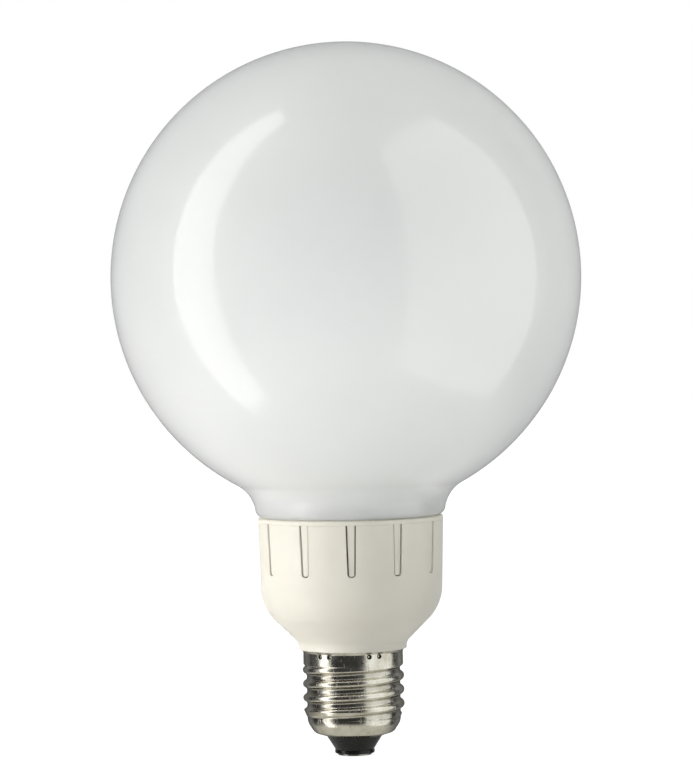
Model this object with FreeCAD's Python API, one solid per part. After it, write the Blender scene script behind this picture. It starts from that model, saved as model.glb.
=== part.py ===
import FreeCAD, Part
import math
import os

# Globe lamp with a screw cap, standing on its centre contact. Millimetres, +Z up the lamp axis,
# origin at the middle of the contact face. Every piece is round about the axis, with repeats.

# Opal glass envelope, one sealed solid
globe_radius = 60.9
neck_radius = 24.7
neck_height = 6.2
neck_foot_rounding = 2.3
neck_blend_radius = 9.0
foot_step = 2.1
foot_length = 5.0
foot_chamfer = 0.8
glass_joint_gap = 0.05

# Holder that the glass is cemented in, with snap fingers round its edge
holder_flange_thickness = 1.1
holder_flange_rounding = 0.45
holder_socket_wall = 1.6
holder_floor_thickness = 1.6
cement_thickness = 0.4
finger_count = 12
finger_length = 13.0
finger_top_width = 1.97
finger_tip_width = 1.37
finger_tip_rounding = 0.45
finger_recess = 0.3
finger_thickness = 1.3
finger_side_gap = 0.33
finger_tip_gap = 0.25
finger_back_gap = 0.2
plug_fit = 0.1
front_angle = -90.0

# Ballast housing, a moulded cup that narrows to the cap
housing_height = 33.25
housing_mouth_wall = 1.65
housing_draft_deg = 1.8
housing_shoulder_rounding = 11.0
housing_cone_deg = 45.0
housing_neck_overhang = 0.46
housing_neck_height = 1.65
housing_neck_rounding = 2.4
housing_rim_chamfer = 0.12

# Screw cap shell, rolled from thin sheet, with a right-hand round thread
sheet_thickness = 0.3
thread_pitch = 3.629
thread_major_radius = 13.15
thread_depth = 1.05
thread_root_sink = 0.03
thread_land = 0.16
thread_height = 13.6
thread_crest_rise = 3.4
thread_fade_height = 2.4
thread_fade_top = 1.0
thread_fade_margin = 0.05
skirt_inset = 0.21
skirt_height = 4.25
skirt_blend_height = 0.6
skirt_blend_radius = 0.55
flare_width = 0.6
flare_height = 0.7
flare_rounding = 0.45
band_height = 1.13
band_rounding = 3.0
base_step = 1.75
base_rise = 2.72
base_rounding = 1.8
mouth_step = 3.1
mouth_rise = 0.95

# Stake marks that pin the skirt to the housing
stake_pair_count = 6
stake_pair_angle = -65.0
stake_spread_deg = 6.3
stake_radius = 0.5
stake_depth = 0.35
stake_below_top = 1.25
stake_fit = 0.08

# Spigot of the housing inside the shell
spigot_fit = 0.06
spigot_length = 13.0
spigot_chamfer = 0.6

# Insulator and contact at the foot of the cap
insulator_cone_height = 3.55
insulator_lip_height = 0.85
insulator_lip_step = 0.15
insulator_lip_rounding = 0.3
insulator_flange_width = 1.3
insulator_depth = 2.86
contact_radius = 4.4
contact_thickness = 0.45
contact_rounding = 0.15
contact_inset = 0.6
eyelet_bore_radius = 0.8
eyelet_wall = 0.5
eyelet_head_width = 1.0
eyelet_head_thickness = 0.35
solder_recess = 0.12
solder_height = 3.0

# Heights, from the contact face up
insulator_neck_z = contact_thickness + insulator_lip_height + insulator_lip_step
shell_mouth_z = insulator_neck_z + insulator_cone_height
shell_base_z = shell_mouth_z + mouth_rise
shell_band_end_z = shell_base_z + base_rise
thread_low_z = shell_band_end_z + band_height
thread_crest_z = thread_low_z + thread_crest_rise
thread_fade_z = thread_low_z + thread_fade_height
skirt_bottom_z = thread_low_z + thread_height
shell_top_z = skirt_bottom_z + skirt_height
seam_z = shell_top_z + housing_height
holder_top_z = seam_z + holder_flange_thickness
glass_base_z = holder_top_z + glass_joint_gap
globe_centre_z = glass_base_z + neck_height + math.sqrt(globe_radius ** 2 - neck_radius ** 2)
foot_z = glass_base_z - foot_length
cement_z = foot_z - cement_thickness
plug_z = cement_z - holder_floor_thickness
finger_tip_z = seam_z - finger_length
insulator_top_z = shell_mouth_z + insulator_depth

# Radii, from the glass outwards and from the thread inwards
foot_radius = neck_radius - neck_foot_rounding - foot_step
holder_socket_radius = foot_radius + cement_thickness
holder_plug_radius = holder_socket_radius + holder_socket_wall
housing_mouth_radius = holder_plug_radius + plug_fit
housing_top_radius = housing_mouth_radius + housing_mouth_wall
thread_minor_radius = thread_major_radius - thread_depth
thread_bore_radius = thread_minor_radius - sheet_thickness
skirt_radius = thread_major_radius - skirt_inset
skirt_bore_radius = skirt_radius - sheet_thickness
flare_radius = skirt_radius + flare_width
housing_neck_radius = flare_radius + housing_neck_overhang
shell_base_radius = thread_minor_radius - base_step
shell_mouth_radius = shell_base_radius - mouth_step
insulator_neck_radius = contact_radius + contact_inset
insulator_lip_radius = insulator_neck_radius + insulator_lip_step
eyelet_radius = eyelet_bore_radius + eyelet_wall
eyelet_head_radius = eyelet_radius + eyelet_head_width

axis_start = FreeCAD.Vector(0, 0, 0)
axis_up = FreeCAD.Vector(0, 0, 1)
rounding_reach = 0.98
smallest_edge = 1e-6
smallest_rounding = 0.05


def at(radius, height):
    return FreeCAD.Vector(radius, 0, height)


def turned(shape, angle):
    copy = shape.copy()
    copy.rotate(axis_start, axis_up, angle)
    return copy


def save(shape, name):
    shape.exportStep("parts/" + name + ".step")


# Rounded outlines: each corner is (radius, height, rounding)
def rounded_edges(corners):
    edges = []
    last = at(*corners[0][:2])
    for before, corner, after in zip(corners, corners[1:], corners[2:]):
        here = at(*corner[:2])
        back = at(*before[:2]) - here
        on = at(*after[:2]) - here
        half = back.getAngle(on) / 2
        reach = corner[2] / math.tan(half) if corner[2] else 0
        if reach:
            reach = min(reach, back.Length * rounding_reach, on.Length * rounding_reach)
            rounding = reach * math.tan(half)
            back.normalize()
            on.normalize()
            middle = (back + on).normalize()
            start = here + back * reach
            end = here + on * reach
            via = here + middle * (rounding / math.sin(half) - rounding)
            if (start - last).Length > smallest_edge:
                edges.append(Part.LineSegment(last, start).toShape())
            edges.append(Part.Arc(start, via, end).toShape())
            last = end
        else:
            edges.append(Part.LineSegment(last, here).toShape())
            last = here
    edges.append(Part.LineSegment(last, at(*corners[-1][:2])).toShape())
    return edges


def closed_corners(corners):
    first = corners[0]
    second = corners[1]
    middle = ((first[0] + second[0]) / 2, (first[1] + second[1]) / 2, 0)
    return [middle] + list(corners[1:]) + [first, middle]


def turned_solid(corners):
    wire = Part.Wire(rounded_edges(closed_corners(corners)))
    return Part.Face(wire).revolve(axis_start, axis_up, 360)


# A path moved sideways by a wall, its roundings kept concentric; left of the path is positive
def offset_path(corners, wall):
    moved = []
    for i, corner in enumerate(corners):
        here = at(*corner[:2])
        directions = []
        if i > 0:
            directions.append((here - at(*corners[i - 1][:2])).normalize())
        if i < len(corners) - 1:
            directions.append((at(*corners[i + 1][:2]) - here).normalize())
        normals = [FreeCAD.Vector(-d.z, 0, d.x) for d in directions]
        mean = sum(normals, FreeCAD.Vector()).normalize()
        shift = mean * (wall / mean.dot(normals[0]))
        turn = directions[0].cross(directions[-1]).y
        rounding = corner[2]
        if rounding:
            rounding = max(rounding + math.copysign(wall, turn), smallest_rounding)
        moved.append((here.x + shift.x, here.z + shift.z, rounding))
    return moved


# The corner where a straight run meets a new radius or a new height
def run_to_radius(start, end, radius):
    share = (radius - start[0]) / (end[0] - start[0])
    return (radius, start[1] + share * (end[1] - start[1]), 0)


def run_to_height(start, end, height):
    share = (height - start[1]) / (end[1] - start[1])
    return (start[0] + share * (end[0] - start[0]), height, 0)


def housing_wall():
    # Outer wall from the seam down to the neck: draft, round shoulder, cone, neck
    cone_z = shell_top_z + housing_neck_height
    lean = math.tan(math.radians(housing_draft_deg))
    rise = 1 / math.tan(math.radians(housing_cone_deg))
    drop = (housing_top_radius - housing_neck_radius - lean * (seam_z - cone_z)) / (rise - lean)
    shoulder_z = cone_z + drop
    shoulder_radius = housing_neck_radius + drop * rise
    return [
        (housing_top_radius, seam_z, 0),
        (shoulder_radius, shoulder_z, housing_shoulder_rounding),
        (housing_neck_radius, cone_z, housing_neck_rounding),
        (housing_neck_radius, shell_top_z, 0),
    ]


def shell_wall():
    # Outside of the cap sheet without its thread, from the flared rim down to the mouth
    skirt_low_z = skirt_bottom_z - skirt_blend_height / 2
    return [
        (flare_radius, shell_top_z, 0),
        (skirt_radius, shell_top_z - flare_height, flare_rounding),
        (skirt_radius, skirt_bottom_z + skirt_blend_height / 2, skirt_blend_radius),
        (thread_minor_radius, skirt_low_z, skirt_blend_radius),
        (thread_minor_radius, shell_band_end_z, band_rounding),
        (shell_base_radius, shell_base_z, base_rounding),
        (shell_mouth_radius, shell_mouth_z, 0),
    ]


def make_globe():
    # The neck foot is a convex round, and a concave round joins it to the sphere
    foot_round_radius = neck_radius - neck_foot_rounding
    foot_round_z = glass_base_z + neck_foot_rounding
    far = globe_radius + neck_blend_radius
    near = neck_foot_rounding + neck_blend_radius
    span = math.hypot(foot_round_radius, globe_centre_z - foot_round_z)
    along = (far ** 2 - near ** 2 + span ** 2) / (2 * span)
    aside = math.sqrt(far ** 2 - along ** 2)
    centre = at(0, globe_centre_z)
    foot_centre = at(foot_round_radius, foot_round_z)
    down = (foot_centre - centre).normalize()
    outward = FreeCAD.Vector(-down.z, 0, down.x)
    blend_centre = centre + down * along + outward * aside
    to_blend = (blend_centre - centre).normalize()
    from_foot = (blend_centre - foot_centre).normalize()
    on_sphere = centre + to_blend * globe_radius
    on_foot = foot_centre + from_foot * neck_foot_rounding
    blend_middle = ((on_sphere + on_foot) * 0.5 - blend_centre).normalize()
    foot_middle = (from_foot - axis_up).normalize()
    top = at(0, globe_centre_z + globe_radius)
    base_edge = at(foot_round_radius, glass_base_z)
    arcs = [
        Part.Arc(top, at(globe_radius, globe_centre_z), on_sphere),
        Part.Arc(on_sphere, blend_centre + blend_middle * neck_blend_radius, on_foot),
        Part.Arc(on_foot, foot_centre + foot_middle * neck_foot_rounding, base_edge),
    ]
    foot = [
        (base_edge.x, base_edge.z, 0),
        (foot_radius, glass_base_z, 0),
        (foot_radius, foot_z + foot_chamfer, 0),
        (foot_radius - foot_chamfer, foot_z, 0),
        (0, foot_z, 0),
        (top.x, top.z, 0),
    ]
    edges = [arc.toShape() for arc in arcs] + rounded_edges(foot)
    return Part.Face(Part.Wire(edges)).revolve(axis_start, axis_up, 360)


def make_cement():
    # Thin cup of cement between the glass foot and the holder
    return turned_solid([
        (0, cement_z, 0),
        (holder_socket_radius, cement_z, 0),
        (holder_socket_radius, holder_top_z, 0),
        (foot_radius, holder_top_z, 0),
        (foot_radius, foot_z + foot_chamfer, 0),
        (foot_radius - foot_chamfer, foot_z, 0),
        (0, foot_z, 0),
    ])


# A finger, or with gaps round it the slot that it hangs in, as a block that points along +X
def finger_block(inner, outer, side_gap, tip_gap):
    top = finger_top_width / 2 + side_gap
    tip = finger_tip_width / 2 + side_gap
    low = finger_tip_z - tip_gap
    high = seam_z + holder_flange_thickness / 2
    corners = [
        (-top, seam_z, 0),
        (-tip, low, finger_tip_rounding + side_gap),
        (tip, low, finger_tip_rounding + side_gap),
        (top, seam_z, 0),
        (top, high, 0),
        (-top, high, 0),
        (-top, seam_z, 0),
    ]
    face = Part.Face(Part.Wire(rounded_edges(corners)))
    face.rotate(axis_start, axis_up, 90)
    face.translate(FreeCAD.Vector(inner, 0, 0))
    return face.extrude(FreeCAD.Vector(outer - inner, 0, 0))


def make_holder():
    plug = turned_solid([
        (0, plug_z, 0),
        (holder_plug_radius, plug_z, 0),
        (holder_plug_radius, seam_z, 0),
        (housing_top_radius, seam_z, 0),
        (housing_top_radius, holder_top_z, holder_flange_rounding),
        (holder_socket_radius, holder_top_z, 0),
        (holder_socket_radius, cement_z, 0),
        (0, cement_z, 0),
    ])
    # Fingers follow the wall of the housing, a little below its surface
    inside_wall = offset_path(housing_wall(), -finger_recess)
    limit = turned_solid([(0, inside_wall[-1][1], 0)] + inside_wall[::-1] + [(0, inside_wall[0][1], 0)])
    inner = holder_plug_radius - finger_thickness / 2
    finger = finger_block(inner, housing_top_radius, 0, 0).common(limit)
    fingers = [turned(finger, front_angle + 360 * i / finger_count) for i in range(finger_count)]
    return plug.fuse(fingers).removeSplitter()


def stake_balls(radius):
    # Punch points in pairs round the skirt, all on the same centres
    middle = FreeCAD.Vector(skirt_radius - stake_depth + stake_radius, 0, shell_top_z - stake_below_top)
    ball = Part.makeSphere(radius, middle)
    pairs = [stake_pair_angle + 360 * i / stake_pair_count for i in range(stake_pair_count)]
    return [turned(ball, pair + side * stake_spread_deg) for pair in pairs for side in (-1, 1)]


def make_housing():
    wall = housing_wall()
    spigot_end_z = shell_top_z - spigot_length
    inside = offset_path(shell_wall(), -sheet_thickness)
    spigot_radius = skirt_bore_radius - spigot_fit
    core_radius = thread_bore_radius - spigot_fit
    step_z = inside[2][1]
    cup = turned_solid([
        (0, spigot_end_z, 0),
        (core_radius - spigot_chamfer, spigot_end_z, 0),
        (core_radius, spigot_end_z + spigot_chamfer, 0),
        (core_radius, step_z, 0),
        (spigot_radius, step_z + skirt_radius - thread_minor_radius, 0),
        (spigot_radius, shell_top_z, 0),
    ] + wall[::-1][:-1] + [
        (housing_top_radius, seam_z - housing_rim_chamfer, 0),
        (housing_top_radius - housing_rim_chamfer, seam_z, 0),
        (0, seam_z, 0),
    ])
    mouth = Part.makeCylinder(housing_mouth_radius, seam_z, at(0, plug_z))
    inner = holder_plug_radius - finger_thickness / 2 - finger_back_gap
    slot = finger_block(inner, housing_top_radius + finger_thickness, finger_side_gap, finger_tip_gap)
    slots = [turned(slot, front_angle + 360 * i / finger_count) for i in range(finger_count)]
    return cup.cut([mouth] + slots + stake_balls(stake_radius + sheet_thickness + stake_fit))


def half_turn(i):
    arc = Part.makeHelix(thread_pitch, thread_pitch / 2, thread_minor_radius)
    arc.rotate(axis_start, axis_up, 180 * i)
    arc.translate(at(0, thread_crest_z + i * thread_pitch / 2))
    return arc.Edges[0]


# The ridge of the thread: a crest arc between two root arcs, swept up a helix
def thread_ridge():
    root_radius = thread_minor_radius - thread_root_sink
    depth = thread_major_radius - root_radius
    reach = thread_pitch / 2
    rounding = (reach ** 2 + depth ** 2) / (4 * depth)
    pitch_radius = (thread_major_radius + root_radius) / 2
    lean = math.asin(reach / 2 / rounding)
    land_lean = thread_land / 2 / rounding
    first = -math.ceil(thread_crest_rise / reach)
    last = math.ceil((thread_height - thread_crest_rise + skirt_blend_height / 2) / reach)
    base_z = thread_crest_z + first * reach

    def root_point(angle, side):
        radius = root_radius + rounding * (1 - math.cos(angle))
        return at(radius, base_z + side * (reach - rounding * math.sin(angle)))

    crest = at(thread_major_radius, base_z)
    edges = []
    for side in (-1, 1):
        flank = at(pitch_radius, base_z + side * reach / 2)
        foot = root_point(land_lean, side)
        sunk = at(thread_minor_radius - sheet_thickness / 2, foot.z)
        arcs = [
            Part.LineSegment(sunk, foot).toShape(),
            Part.Arc(foot, root_point((land_lean + lean) / 2, side), flank).toShape(),
        ]
        edges += arcs if side < 0 else arcs[::-1]
        if side < 0:
            low_sunk = sunk
            crest_arc = Part.Arc(flank, crest, at(pitch_radius, base_z + reach / 2))
            edges.append(crest_arc.toShape())
    edges.append(Part.LineSegment(sunk, low_sunk).toShape())
    section = Part.Wire(edges)
    section.rotate(axis_start, axis_up, 180 * first)
    path = Part.Wire([half_turn(i) for i in range(first, last)])
    return path.makePipeShell([section], True, True)


# Ring that trims the ridge: the thread fades out low down and dies into the skirt above
def thread_trim():
    wide = thread_major_radius + thread_pitch
    crest = thread_major_radius + thread_fade_margin
    skirt_low_z = skirt_bottom_z + skirt_blend_height / 2
    high_z = skirt_low_z + thread_pitch
    low_z = thread_low_z - thread_pitch * 2
    return turned_solid([
        (wide, high_z, 0),
        (wide, low_z, 0),
        (thread_bore_radius, low_z, 0),
        (thread_bore_radius, thread_low_z, 0),
        (thread_minor_radius, thread_low_z, 0),
        (crest, thread_fade_z, 0),
        (crest, skirt_bottom_z - thread_fade_top, 0),
        (skirt_radius, skirt_low_z, 0),
        (skirt_radius, high_z, 0),
    ])


def make_screw_shell():
    outside = shell_wall()
    inside = offset_path(outside, -sheet_thickness)
    inside[0] = run_to_height(inside[0], inside[1], shell_top_z)
    mouth = inside[-1]
    sheet = turned_solid([(0, shell_top_z, 0)] + outside + [mouth, (0, mouth[1], 0)])
    hollow = turned_solid([(0, shell_top_z, 0)] + inside + [(0, mouth[1], 0)])
    shell = sheet.fuse(thread_ridge().cut(thread_trim())).cut(hollow)
    # Each punch point is a dent outside and the same dent pushed through inside
    bore = Part.makeCylinder(skirt_radius - sheet_thickness / 2, shell_top_z)
    dimples = [ball.common(bore) for ball in stake_balls(stake_radius + sheet_thickness)]
    return shell.fuse(dimples).cut(stake_balls(stake_radius))


def make_insulator():
    inside = offset_path(shell_wall(), -sheet_thickness)
    mouth = inside[-1]
    rim = run_to_radius(mouth, inside[-2], mouth[0] + insulator_flange_width)
    return turned_solid([
        (eyelet_radius, contact_thickness, 0),
        (insulator_lip_radius, contact_thickness, insulator_lip_rounding),
        (insulator_lip_radius, contact_thickness + insulator_lip_height, insulator_lip_rounding),
        (insulator_neck_radius, insulator_neck_z, 0),
        (shell_mouth_radius, shell_mouth_z, 0),
        mouth,
        rim,
        (rim[0], insulator_top_z, 0),
        (eyelet_radius, insulator_top_z, 0),
    ])


def make_contact():
    # Pressed plate with a hollow rivet stem that is spread over the insulator
    head_z = insulator_top_z + eyelet_head_thickness
    return turned_solid([
        (eyelet_bore_radius, 0, 0),
        (contact_radius, 0, contact_rounding),
        (contact_radius, contact_thickness, 0),
        (eyelet_radius, contact_thickness, 0),
        (eyelet_radius, insulator_top_z, 0),
        (eyelet_head_radius, insulator_top_z, 0),
        (eyelet_head_radius, head_z, 0),
        (eyelet_bore_radius, head_z, 0),
    ])


def make_solder():
    return Part.makeCylinder(eyelet_bore_radius, solder_height, at(0, solder_recess))


os.makedirs("parts", exist_ok=True)
save(make_globe(), "globe")
save(make_cement(), "globe_cement")
save(make_holder(), "globe_holder")
save(make_housing(), "ballast_housing")
save(make_screw_shell(), "screw_shell")
save(make_insulator(), "cap_insulator")
save(make_contact(), "centre_contact")
save(make_solder(), "contact_solder")
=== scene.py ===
import math

import bmesh
import bpy
from mathutils import Matrix, Vector


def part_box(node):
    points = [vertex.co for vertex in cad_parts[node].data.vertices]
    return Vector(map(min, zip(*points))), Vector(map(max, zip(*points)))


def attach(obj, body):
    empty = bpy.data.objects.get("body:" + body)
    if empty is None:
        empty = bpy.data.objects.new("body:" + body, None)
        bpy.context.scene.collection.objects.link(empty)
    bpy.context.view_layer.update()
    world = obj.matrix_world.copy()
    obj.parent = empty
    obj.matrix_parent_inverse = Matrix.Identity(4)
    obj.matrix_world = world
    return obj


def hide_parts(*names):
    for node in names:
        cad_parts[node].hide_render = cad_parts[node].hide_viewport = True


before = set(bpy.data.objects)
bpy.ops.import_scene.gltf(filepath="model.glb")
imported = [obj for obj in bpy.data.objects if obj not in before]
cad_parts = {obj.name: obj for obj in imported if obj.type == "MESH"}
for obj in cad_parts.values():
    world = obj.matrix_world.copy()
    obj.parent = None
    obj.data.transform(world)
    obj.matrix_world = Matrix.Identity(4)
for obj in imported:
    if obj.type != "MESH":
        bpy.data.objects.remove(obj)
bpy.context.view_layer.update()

# The shapes below are drawn in millimetres and turned about the lamp's axis
scene = bpy.context.scene
mm = 0.001
mergeDistance = 0.002 * mm
sectors = 12
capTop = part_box("screw_shell")[1].z / mm
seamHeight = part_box("ballast_housing")[1].z / mm
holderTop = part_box("globe_holder")[1].z / mm
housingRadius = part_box("globe_holder")[1].x / mm
print("frame loaded:", len(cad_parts), "nodes")


# Shared modelling helpers
def drawOutline(bm, corners, arcStep=6.0):
    # a wire in the XZ plane through (radius, height, rounding) corners
    verts = [bm.verts.new((r * mm, 0, z * mm)) for r, z, rounding in corners]
    for start, end in zip(verts, verts[1:]):
        bm.edges.new((start, end))
    bends = []
    for before, vert, after, corner in zip(verts, verts[1:], verts[2:], corners[1:]):
        if corner[2]:
            inside = (before.co - vert.co).angle(after.co - vert.co)
            steps = max(3, round(math.degrees(math.pi - inside) / arcStep))
            bends.append((vert, corner[2] * mm / math.tan(inside / 2), steps))
    for vert, reach, steps in bends:
        bmesh.ops.bevel(bm, geom=[vert], offset=reach, offset_type='OFFSET', affect='VERTICES',
                        segments=steps, profile=0.5, material=-1)


def drawArc(bm, start, centre, end, steps):
    # spins one vertex round a centre until it points the way that end does
    pivot = Vector((centre[0] * mm, 0, centre[1] * mm))
    before = start.co - pivot
    after = Vector((end[0] * mm, 0, end[1] * mm)) - pivot
    turn = math.atan2(after.x, after.z) - math.atan2(before.x, before.z)
    turn = (turn + math.pi) % (2 * math.pi) - math.pi
    spun = bmesh.ops.spin(bm, geom=[start], cent=pivot, axis=(0, 1, 0), dvec=(0, 0, 0),
                          angle=turn, steps=steps, use_merge=False)
    return [item for item in spun["geom_last"] if isinstance(item, bmesh.types.BMVert)][0]


def drawLine(bm, start, end):
    vert = bm.verts.new((end[0] * mm, 0, end[1] * mm))
    bm.edges.new((start, vert))
    return vert


def closeSeams(bm):
    bmesh.ops.remove_doubles(bm, verts=bm.verts, dist=mergeDistance)
    bmesh.ops.recalc_face_normals(bm, faces=bm.faces)


def newGeometry(bm, kept):
    verts = [vert for vert in bm.verts if vert not in kept]
    edges = {edge for vert in verts for edge in vert.link_edges}
    faces = {face for vert in verts for face in vert.link_faces}
    return verts + list(edges) + list(faces)


def copyRound(bm, kept, count):
    bmesh.ops.spin(bm, geom=newGeometry(bm, kept), cent=(0, 0, 0), axis=(0, 0, 1), dvec=(0, 0, 0),
                   angle=2 * math.pi * (count - 1) / count, steps=count - 1, use_duplicate=True)


def turnRound(bm, kept, steps):
    # turns all but the kept verts: one sector is spun and then copied round, which is quicker
    bmesh.ops.spin(bm, geom=newGeometry(bm, kept), cent=(0, 0, 0), axis=(0, 0, 1), dvec=(0, 0, 0),
                   angle=2 * math.pi / sectors, steps=steps // sectors)
    copyRound(bm, kept, sectors)


def turnedPiece(name, corners, steps, material, node):
    bm = bmesh.new()
    drawOutline(bm, corners)
    turnRound(bm, set(), steps)
    closeSeams(bm)
    return makePiece(name, bm, material, node)


def makePiece(name, bm, material, node, sharpAngle=40, shadeAndTarnishAt=None):
    mesh = bpy.data.meshes.new(name)
    bm.to_mesh(mesh)
    bm.free()
    # a per-vertex share of painted shade: in the housing's slots, and in the shell's punch marks; on the
    # shell it also carries tarnish at the thread root
    if shadeAndTarnishAt:
        shadeAndTarnish = mesh.attributes.new("shadeAndTarnish", 'FLOAT', 'POINT')
        for spot, vert in zip(shadeAndTarnish.data, mesh.vertices):
            spot.value = shadeAndTarnishAt(vert.co.xy.length / mm, vert.co.z / mm)
    for face in mesh.polygons:
        face.use_smooth = True
    mesh.set_sharp_from_angle(angle=math.radians(sharpAngle))
    piece = bpy.data.objects.new(name, mesh)
    scene.collection.objects.link(piece)
    mesh.materials.append(material)
    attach(piece, "root")
    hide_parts(node)
    return piece


# Shared node groups: an uneven value, and a grain as a bumped normal
def newGroup(name, inputs, output, kind):
    tree = bpy.data.node_groups.new(name, 'ShaderNodeTree')
    tree.interface.new_socket("Vector", in_out='INPUT', socket_type='NodeSocketVector')
    for label in inputs:
        tree.interface.new_socket(label, in_out='INPUT', socket_type='NodeSocketFloat')
    tree.interface.new_socket(output, in_out='OUTPUT', socket_type=kind)
    return tree, tree.nodes.new("NodeGroupInput"), tree.nodes.new("NodeGroupOutput")


def unevenGroup():
    tree, given, result = newGroup("unevenValue", ["Scale", "Detail", "Low", "High"], "Value",
                                   'NodeSocketFloat')
    noise = tree.nodes.new("ShaderNodeTexNoise")
    spread = tree.nodes.new("ShaderNodeMapRange")
    spread.inputs["From Min"].default_value = 0.3
    spread.inputs["From Max"].default_value = 0.7
    tree.links.new(given.outputs["Vector"], noise.inputs["Vector"])
    tree.links.new(given.outputs["Scale"], noise.inputs["Scale"])
    tree.links.new(given.outputs["Detail"], noise.inputs["Detail"])
    tree.links.new(noise.outputs["Fac"], spread.inputs["Value"])
    tree.links.new(given.outputs["Low"], spread.inputs["To Min"])
    tree.links.new(given.outputs["High"], spread.inputs["To Max"])
    tree.links.new(spread.outputs["Result"], result.inputs["Value"])
    return tree


def grainGroup():
    tree, given, result = newGroup("surfaceGrain", ["Scale", "Detail", "Height"], "Normal",
                                   'NodeSocketVector')
    noise = tree.nodes.new("ShaderNodeTexNoise")
    bump = tree.nodes.new("ShaderNodeBump")
    tree.links.new(given.outputs["Vector"], noise.inputs["Vector"])
    tree.links.new(given.outputs["Scale"], noise.inputs["Scale"])
    tree.links.new(given.outputs["Detail"], noise.inputs["Detail"])
    tree.links.new(noise.outputs["Fac"], bump.inputs["Height"])
    tree.links.new(given.outputs["Height"], bump.inputs["Distance"])
    tree.links.new(bump.outputs["Normal"], result.inputs["Normal"])
    return tree


unevenTree = unevenGroup()
grainTree = grainGroup()


class Finish:
    # a Principled material with short ways to feed its sockets
    def __init__(self, name, values):
        self.material = bpy.data.materials.new(name)
        self.material.use_nodes = True
        self.nodes = self.material.node_tree.nodes
        self.links = self.material.node_tree.links
        self.shader = self.nodes["Principled BSDF"]
        self.place = self.nodes.new("ShaderNodeTexCoord").outputs["Object"]
        for socket, value in values.items():
            self.shader.inputs[socket].default_value = value

    def shadeAndTarnish(self, share):
        # reads the share of painted shade, and on the shell of tarnish, that the mesh stores
        mark = self.nodes.new("ShaderNodeAttribute")
        mark.attribute_name = "shadeAndTarnish"
        return self.combine('MULTIPLY', mark.outputs["Fac"], share)

    def stretched(self, scale):
        mapping = self.nodes.new("ShaderNodeMapping")
        mapping.inputs["Scale"].default_value = scale
        self.links.new(self.place, mapping.inputs["Vector"])
        return mapping.outputs["Vector"]

    def group(self, tree, vector, values):
        node = self.nodes.new("ShaderNodeGroup")
        node.node_tree = tree
        self.links.new(vector, node.inputs["Vector"])
        for socket, value in values.items():
            node.inputs[socket].default_value = value
        return node.outputs[0]

    def uneven(self, scale, low, high, detail=3.0, vector=None):
        return self.group(unevenTree, vector or self.place,
                          {"Scale": scale, "Detail": detail, "Low": low, "High": high})

    def grain(self, scale, height, detail=2.0):
        return self.group(grainTree, self.place, {"Scale": scale, "Detail": detail, "Height": height * mm})

    def blend(self, share, first, second):
        mix = self.nodes.new("ShaderNodeMix")
        mix.data_type = 'RGBA'
        self.links.new(share, mix.inputs["Factor"])
        for label, color in (("A", first), ("B", second)):
            socket = [s for s in mix.inputs if s.name == label and s.type == 'RGBA'][0]
            if isinstance(color, tuple):
                socket.default_value = color
            else:
                self.links.new(color, socket)
        return [s for s in mix.outputs if s.type == 'RGBA'][0]

    def combine(self, operation, first, second):
        node = self.nodes.new("ShaderNodeMath")
        node.operation = operation
        for socket, value in zip(node.inputs, (first, second)):
            if isinstance(value, (int, float)):
                socket.default_value = value
            else:
                self.links.new(value, socket)
        return node.outputs[0]

    def feed(self, output, socket):
        self.links.new(output, self.shader.inputs[socket])

    def surface(self, values, detail=2.0):
        # the uneven roughness and the grain that most of the materials have
        self.feed(self.uneven(values["roughnessScale"], *values["roughness"]), "Roughness")
        self.feed(self.grain(values["grainScale"], values["grain"], detail), "Normal")


# Materials: a scale is a count per metre, and a grain, a dent or a ripple is a height in millimetres
opalGlass = {"color": (0.875, 0.885, 0.875, 1), "cloud": (0.855, 0.868, 0.86, 1), "cloudScale": 45.0,
             "roughness": (0.33, 0.4), "roughnessScale": 400.0, "ripple": 0.02, "rippleScale": 24.0}
# the housing's near-black mark colour is painted shade deep inside the slots
housingPlastic = {"color": (0.83, 0.80, 0.71, 1), "shade": (0.80, 0.765, 0.67, 1), "shadeScale": 120.0,
                  "shadeAndTarnish": (0.07, 0.055, 0.04, 1), "shadeAndTarnishShare": 0.95, "roughness": (0.32, 0.41),
                  "roughnessScale": 160.0, "grain": 0.006, "grainScale": 2600.0}
# the plated sheet's near-black mark colour is painted shade in the punch marks, and tarnish at the thread
# root
platedSheet = {"color": (0.80, 0.775, 0.70, 1), "stain": (0.52, 0.485, 0.40, 1), "stainScale": 260.0,
               "stainRange": (-0.35, 0.75), "shadeAndTarnish": (0.025, 0.022, 0.018, 1), "shadeAndTarnishShare": 0.9,
               "roughness": (0.13, 0.27), "roughnessScale": 420.0, "streakScale": (60, 60, 3200),
               "streakRange": (0, 0.06), "scuffScale": (1500, 1500, 380), "scuffRange": (-0.58, 0.27),
               "dent": 0.014, "dentScale": 700.0}
blackGlass = {"color": (0.008, 0.009, 0.009, 1), "dust": (0.022, 0.022, 0.02, 1), "dustScale": 900.0,
              "dustRange": (-0.9, 0.9), "roughness": (0.12, 0.3), "roughnessScale": 500.0, "grain": 0.004,
              "grainScale": 1500.0}
contactPlate = {"color": (0.42, 0.4, 0.37, 1), "shade": (0.2, 0.19, 0.17, 1), "shadeScale": 900.0,
                "roughness": (0.25, 0.42), "roughnessScale": 1300.0, "grain": 0.012, "grainScale": 1200.0}
tinSolder = {"color": (0.58, 0.58, 0.59, 1), "shade": (0.4, 0.4, 0.4, 1), "shadeScale": 1200.0,
             "roughness": (0.3, 0.5), "roughnessScale": 1800.0, "grain": 0.05, "grainScale": 1400.0}
jointCement = {"color": (0.62, 0.6, 0.54, 1), "shade": (0.48, 0.45, 0.39, 1), "shadeScale": 1500.0,
               "roughness": (0.8, 0.95), "roughnessScale": 900.0, "grain": 0.05, "grainScale": 3000.0}


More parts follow.
